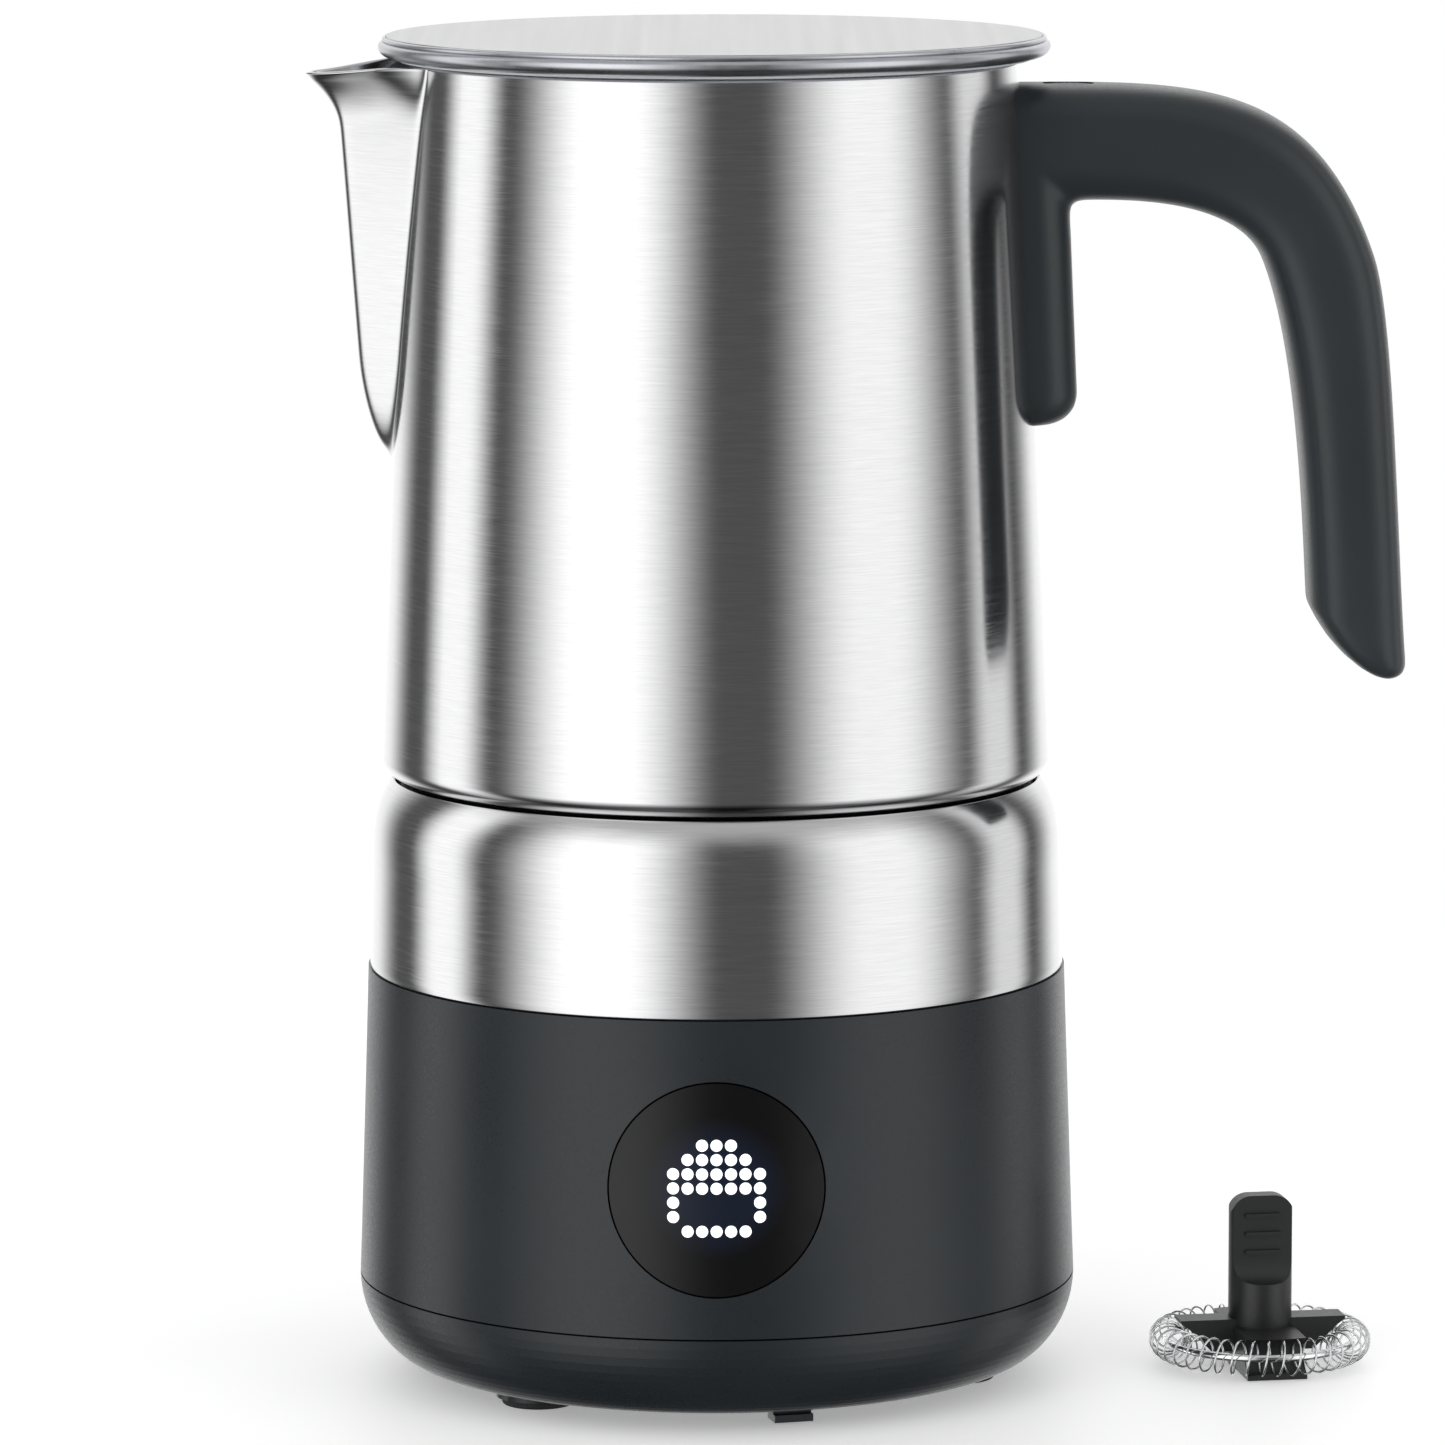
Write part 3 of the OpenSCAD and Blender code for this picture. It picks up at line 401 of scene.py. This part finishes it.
thick = np.ones_like(radii) * WALL
thick[:, :len(fine)] *= np.sqrt(1 + np.minimum(slope, 2.0) ** 2)


def dip(a, z):
    f = min(1.0, abs(math.degrees(a)) / 20)
    rise = max(0.0, (z - 190) / (RIM_Z - 190))
    return 1.7 * math.cos(math.pi / 2 * f) ** 2 * rise * rise


def ring(rs, z):
    rs = np.broadcast_to(rs, angles.shape)
    return [(-r * math.cos(a), -r * math.sin(a), z - dip(a if a < math.pi else 2 * math.pi - a, z))
            for r, a in zip(rs, angles)]


rows = [ring(44.3, JUG_Z + 1.05), ring(44.3, JUG_Z)]
corner_z = JUG_Z + CORNER_H
corner_x = wall_r(corner_z) - CORNER_W
for b in np.linspace(0, math.pi / 2, 22):
    rows.append(ring(corner_x + CORNER_W * math.sin(b), corner_z - CORNER_H * math.cos(b)))
for rs, z in zip(radii, heights):
    rows.append(ring(rs, z))
top, top_thick = radii[-1], thick[-1]
for b in (30, 60, 90, 120, 150):
    b = math.radians(b)
    rows.append(ring(top - top_thick * 0.5 * (1 - math.cos(b)), RIM_Z - 0.4 + 0.4 * math.sin(b)))
for rs, th, z in list(zip(radii, thick, heights))[::-2]:
    rows.append(ring(rs - th, z))
for b in np.linspace(math.pi / 2, 0.3, 8):
    inside_z = max(JUG_Z + 2, corner_z - (CORNER_H - WALL) * math.cos(b))
    rows.append(ring(corner_x + (CORNER_W - WALL) * math.sin(b), inside_z))
cols = len(angles)
points = [p for row in rows for p in row]
faces = tube_faces(len(rows), cols, cap=False)
for centre_z, first, flip in ((JUG_Z + 1.05, 0, True), (JUG_Z + 2, (len(rows) - 1) * cols, False)):
    centre = len(points)
    points.append((0, 0, centre_z))
    for i in range(cols):
        j = (i + 1) % cols
        faces.append((centre, first + j, first + i) if flip else (centre, first + i, first + j))
jug = mesh_object("jug_wall", points, faces, "jug", steel)
sharp_by_angle(jug, 50)
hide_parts("jug_shell")


# ---------------------------------------------------------------- the handle

BAR_Z, BAR_T, HALF_W = 202.9, 19.0, 12.0
UPRIGHT_Z, UPRIGHT_X, LEAN = 157.0, 59.1, 0.042
BACK = [[(55, BAR_Z + BAR_T / 2), (81.8, BAR_Z + BAR_T / 2), (98.2, BAR_Z + 8.1), (107.3, 184.2)],
        [(107.3, 184.2), (110.8, 173.5), (111.4, 136.9), (112.9, 118.0)]]
PALM = [[(55, BAR_Z - BAR_T / 2), (60.6, BAR_Z - BAR_T / 2), (84.3, BAR_Z - 7.4), (89.2, 183.7)],
        [(89.2, 183.7), (95.5, 168.4), (96.3, 137.3), (96.9, 127.4)]]
TIP = [((98.2, 124.9), (112.85, 116.9), 0.985), ((99.9, 122.3), (112.5, 116.1), 0.96),
       ((102.2, 119.7), (111.8, 115.6), 0.91), ((104.8, 117.5), (110.9, 115.35), 0.82),
       ((106.8, 116.3), (109.9, 115.3), 0.7)]


def along(edge, t):
    p = np.array(edge[0] if t < 0.5 else edge[1], float)
    t = 2 * t if t < 0.5 else 2 * t - 1
    return (1 - t) ** 3 * p[0] + 3 * (1 - t) ** 2 * t * p[1] + 3 * (1 - t) * t * t * p[2] + t ** 3 * p[3]


def handle_ring(palm, back, half_w, power=0.62, sides=56):
    m, h = (palm + back) / 2, (back - palm) / 2
    out = []
    for i in range(sides):
        c, s = math.cos(2 * math.pi * i / sides), math.sin(2 * math.pi * i / sides)
        u, v = math.copysign(abs(c) ** power, c), math.copysign(abs(s) ** power, s)
        out.append((m[0] + h[0] * u, half_w * v, m[1] + h[1] * u))
    return out


loft = [handle_ring(np.array([x, BAR_Z - BAR_T / 2]), np.array([x, BAR_Z + BAR_T / 2]), HALF_W)
        for x in (45, 50, 53)]
loft += [handle_ring(along(PALM, t), along(BACK, t), HALF_W) for t in np.linspace(0, 1, 90)]
loft += [handle_ring(np.array(palm), np.array(back), HALF_W * k) for palm, back, k in TIP]
sides = len(loft[0])
points = [p for row in loft for p in row]
faces = tube_faces(len(loft), sides)

start = len(points)
section_rows = 0
round_end = UPRIGHT_Z + 5.5 * (1 - np.cos(np.linspace(0.12, 1, 10) * math.pi / 2))
for z in np.concatenate([round_end, np.linspace(164, BAR_Z, 30)]):
    bow = 1 - math.sqrt(max(0, 1 - (1 - min(1, (z - UPRIGHT_Z) / 5.5)) ** 2))
    x_out = UPRIGHT_X - LEAN * (z - UPRIGHT_Z) - 5.5 * bow
    half, r = HALF_W - 4 * bow, 6.0
    section = [(x_out - r + r * math.cos(b), s * (half - r) + r * math.sin(b))
               for s, span in ((-1, np.linspace(-90, 0, 9)), (1, np.linspace(0, 90, 9)))
               for b in np.radians(span)]
    section += [(45.0, y) for y in np.linspace(half, -half, 17)]
    points += [(x, y, z) for x, y in section]
    section_rows += 1
    section_cols = len(section)
for f in tube_faces(section_rows, section_cols):
    faces.append(tuple(start + i for i in f))
handle = mesh_object("handle_grip", points, faces, "jug", handle_slate)
applied(handle, ("REMESH", {"mode": "VOXEL", "voxel_size": 0.00055, "adaptivity": 0.0}))
applied(handle, ("SMOOTH", {"factor": 0.5, "iterations": 6}))
group = handle.vertex_groups.new(name="fillet")
for v in handle.data.vertices:
    x, y, z = v.co.x / MM, v.co.y / MM, v.co.z / MM
    d = math.hypot(x - UPRIGHT_X, z - (BAR_Z - BAR_T / 2))
    group.add([v.index], max(0.0, 1 - d / 6.0), "REPLACE")
applied(handle, ("SMOOTH", {"factor": 0.5, "iterations": 60, "vertex_group": "fillet"}))
handle.vertex_groups.clear()
for v in handle.data.vertices:
    r, least = math.hypot(v.co.x, v.co.y), (wall_r(v.co.z / MM) - 0.5) * MM
    if r < least:
        v.co.x, v.co.y = v.co.x * least / r, v.co.y * least / r
plug_low, plug_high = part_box("handle_plug")
plug_r = (plug_high[0] - plug_low[0]) / 2 / MM + 0.1
plug_at = ((plug_low[0] + plug_high[0]) / 2 / MM, 0)
recess_z = plug_low[2] / MM - 0.1
cutter = lathe("plug_cutter", [(0, BAR_Z + BAR_T), (plug_r, BAR_Z + BAR_T), (plug_r, recess_z), (0, recess_z)],
               "jug", None, steps=64, centre=plug_at)
applied(handle, ("BOOLEAN", {"operation": "DIFFERENCE", "object": cutter, "solver": "EXACT"}))
bpy.data.objects.remove(cutter)
sharp_by_angle(handle, 40)
handle.data.materials.clear()
handle.data.materials.append(handle_slate)
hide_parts("handle_body")


# ---------------------------------------------------------------- the lid

LID_R, LID_Z = 54.6, 220.4
profile = [(0, LID_Z), (53.2, LID_Z), (53.28, LID_Z - 0.12), (53.3, LID_Z - 0.9), (0, LID_Z - 0.9)]
lid = lathe("lid_disc", profile, "lid", lid_metal)
profile = [
    (53.32, LID_Z - 0.3), (53.5, LID_Z - 0.12), (53.75, LID_Z - 0.2), (53.92, LID_Z - 0.45),
    (53.95, LID_Z - 0.7), (53.75, LID_Z - 0.84), (54.0, LID_Z - 0.93), (54.35, LID_Z - 1.15),
    (54.55, LID_Z - 1.5), (LID_R, LID_Z - 1.85), (54.5, LID_Z - 2.3), (54.2, LID_Z - 2.75),
    (53.8, LID_Z - 3.08), (53.3, LID_Z - 3.3), (52.7, LID_Z - 3.42), (51.8, LID_Z - 3.35),
    (51.6, LID_Z - 2.0), (51.6, LID_Z - 0.95), (53.32, LID_Z - 0.95)]
rim = lathe("lid_rim", profile, "lid", rim_metal)
sharp_by_angle(rim, 75)
sharp_by_angle(lid, 50)
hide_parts("lid_plate")


# ---------------------------------------------------------------- the spare whisk

SPARE_X, RING_R, COIL_R, COIL_TURNS, WIRE_R = 90.0, 15.4, 3.0, 40, 0.19
COIL_Z = COIL_R + 1.0


def wire(name, path, radius, body, material, sides=8):
    """A closed wire: rings of points round a closed path given as (point, normal, binormal)."""
    points = [p + radius * (math.cos(2 * math.pi * i / sides) * n + math.sin(2 * math.pi * i / sides) * b)
              for p, n, b in path for i in range(sides)]
    return mesh_object(name, points, tube_faces(len(path), sides, closed_rows=True), body, material)


def closed_frames(points):
    pts = np.array(points)
    tangents = np.roll(pts, -1, 0) - np.roll(pts, 1, 0)
    tangents /= np.linalg.norm(tangents, axis=1)[:, None]
    out = []
    for p, t in zip(pts, tangents):
        radial = p - np.array([SPARE_X, 0, COIL_Z])
        n = np.cross(t, np.cross(radial, t))
        n /= np.linalg.norm(n)
        out.append((p, n, np.cross(t, n)))
    return out


steps = 96
centre = np.array([SPARE_X, 0, COIL_Z])
rod = wire("ring_rod", closed_frames([centre + RING_R * np.array([math.cos(a), math.sin(a), 0])
                                      for a in np.linspace(0, 2 * math.pi, steps, endpoint=False)]),
           0.65, "froth_whisk", bright, 16)
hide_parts("froth_ring")
turn_steps = 24
helix = []
for k in range(COIL_TURNS * turn_steps):
    a = 2 * math.pi * k / (COIL_TURNS * turn_steps)
    b = 2 * math.pi * k / turn_steps
    r = RING_R + (COIL_R - WIRE_R) * math.cos(b)
    helix.append(centre + np.array([r * math.cos(a), r * math.sin(a), (COIL_R - WIRE_R) * math.sin(b)]))
pts = np.array(helix)
tangents = np.roll(pts, -1, 0) - np.roll(pts, 1, 0)
tangents /= np.linalg.norm(tangents, axis=1)[:, None]
path = []
for k, (p, t) in enumerate(zip(pts, tangents)):
    a = 2 * math.pi * k / (COIL_TURNS * turn_steps)
    spoke = p - (centre + RING_R * np.array([math.cos(a), math.sin(a), 0]))
    n = spoke - t * np.dot(spoke, t)
    n /= np.linalg.norm(n)
    path.append((p, n, np.cross(t, n)))
coil = wire("ring_coil", path, WIRE_R, "froth_whisk", bright, 6)
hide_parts("froth_coil")

for name in ("froth_whisk", "stir_whisk"):
    m = nodes[name].modifiers.new("Edges", "BEVEL")
    m.width, m.segments, m.limit_method, m.angle_limit = 0.00015, 2, "ANGLE", math.radians(40)
    m.harden_normals = True


# ---------------------------------------------------------------- studio

def make_floor():
    bm = bmesh.new()
    bmesh.ops.create_circle(bm, cap_ends=True, radius=0.46, segments=128)
    mesh = bpy.data.meshes.new("floor")
    bm.to_mesh(mesh)
    bm.free()
    obj = bpy.data.objects.new("floor", mesh)
    scene.collection.objects.link(obj)
    obj.location.z = -0.0001
    g = Graph("pale_floor", Roughness=0.55)
    g.feed("Base Color", g.mix(g.noise(g.place(), 60, 3), (0.965, 0.965, 0.965, 1), (0.98, 0.98, 0.98, 1)))
    g.shader.inputs["Emission Color"].default_value = (1, 1, 1, 1)
    g.shader.inputs["Emission Strength"].default_value = 0.33
    mesh.materials.append(g.material)
    obj.visible_glossy = False
    return obj


make_floor()

# Soft boxes round the object: angle from the front, half width, soft edge (degrees), brightness
SOFT_BOXES = {
    "front_left": (-40, 8, 34, 1.7),
    "front_right": (58, 6, 36, 1.4),
    "side_left": (-103, 4, 16, 1.5),
    "side_right": (113, 4, 14, 1.0),
}
WALL_STARTS, WALL_FULL, WALL_LIGHT = 130, 155, 1.1
ROOM_LIGHT = 0.12

world = bpy.data.worlds.new("studio")
scene.world = world
world.use_nodes = True
tree = world.node_tree
tree.nodes.clear()


def wnode(kind, inputs=(), **settings):
    node = tree.nodes.new("ShaderNode" + kind)
    for key, value in settings.items():
        setattr(node, key, value)
    for socket, value in dict(inputs).items():
        if hasattr(value, "is_output"):
            tree.links.new(value, node.inputs[socket])
        else:
            node.inputs[socket].default_value = value
    return node


direction = wnode("TexCoord").outputs["Generated"]
parts = wnode("SeparateXYZ", {0: direction})
toward_front = wnode("Math", {0: parts.outputs["Y"], 1: -1.0}, operation="MULTIPLY").outputs[0]
turn = wnode("Math", {0: parts.outputs["X"], 1: toward_front}, operation="ARCTAN2").outputs[0]
turn_degrees = wnode("Math", {0: turn, 1: 180 / math.pi}, operation="MULTIPLY").outputs[0]


def band(angle, near, far, light):
    """Light that is full within near degrees and fades out smoothly at far."""
    ends = {"Value": angle, "From Min": near, "From Max": far, "To Min": light, "To Max": 0.0}
    return wnode("MapRange", ends, interpolation_type="SMOOTHSTEP").outputs[0]


behind = wnode("Math", {0: turn_degrees}, operation="ABSOLUTE").outputs[0]
total = band(behind, WALL_FULL, WALL_STARTS, WALL_LIGHT)
for middle, half, edge, light in SOFT_BOXES.values():
    away = wnode("Math", {0: turn_degrees, 1: middle}, operation="SUBTRACT").outputs[0]
    off = wnode("Math", {0: away}, operation="ABSOLUTE").outputs[0]
    total = wnode("Math", {0: total, 1: band(off, half, half + edge, light)}, operation="ADD").outputs[0]
round_light = wnode("Math", {0: total, 1: ROOM_LIGHT}, operation="ADD").outputs[0]
upward = parts.outputs["Z"]
overhead = wnode("MapRange", {"Value": upward, "From Min": 0.5, "From Max": 0.8,
                              "To Min": 0.0, "To Max": 1.0}).outputs[0]
below = wnode("MapRange", {"Value": upward, "From Min": -0.8, "From Max": -0.35,
                           "To Min": 0.06, "To Max": 1.0}).outputs[0]
sides_light = wnode("Math", {0: round_light, 1: below}, operation="MULTIPLY").outputs[0]
mixed = wnode("Mix", data_type="FLOAT")
tree.links.new(overhead, mixed.inputs[0])
tree.links.new(sides_light, mixed.inputs[2])
mixed.inputs[3].default_value = 0.65
light_path = wnode("LightPath")
seen = wnode("Mix", data_type="FLOAT")
tree.links.new(light_path.outputs["Is Camera Ray"], seen.inputs[0])
tree.links.new(mixed.outputs[0], seen.inputs[2])
seen.inputs[3].default_value = 1.0
background = wnode("Background", {"Color": (1, 1, 1, 1), "Strength": seen.outputs[0]})
out = wnode("OutputWorld")
tree.links.new(background.outputs[0], out.inputs[0])

scene.view_settings.view_transform = "Standard"

CAMERA_AT = (0.0011, -1.3957, 0.3076)
CAMERA_TILT_DOWN, CAMERA_ROLL = 8.16, -0.12
SENSOR_MM, LENS_MM = 36, 213.9
camera_data = bpy.data.cameras.new("camera")
camera_data.sensor_width = SENSOR_MM
camera_data.lens = LENS_MM
camera_data.clip_start, camera_data.clip_end = 0.05, 50
camera = bpy.data.objects.new("camera", camera_data)
scene.collection.objects.link(camera)
camera.matrix_world = (Matrix.Translation(CAMERA_AT)
                       @ Matrix.Rotation(math.radians(90 - CAMERA_TILT_DOWN), 4, "X")
                       @ Matrix.Rotation(math.radians(CAMERA_ROLL), 4, "Z"))
scene.camera = camera
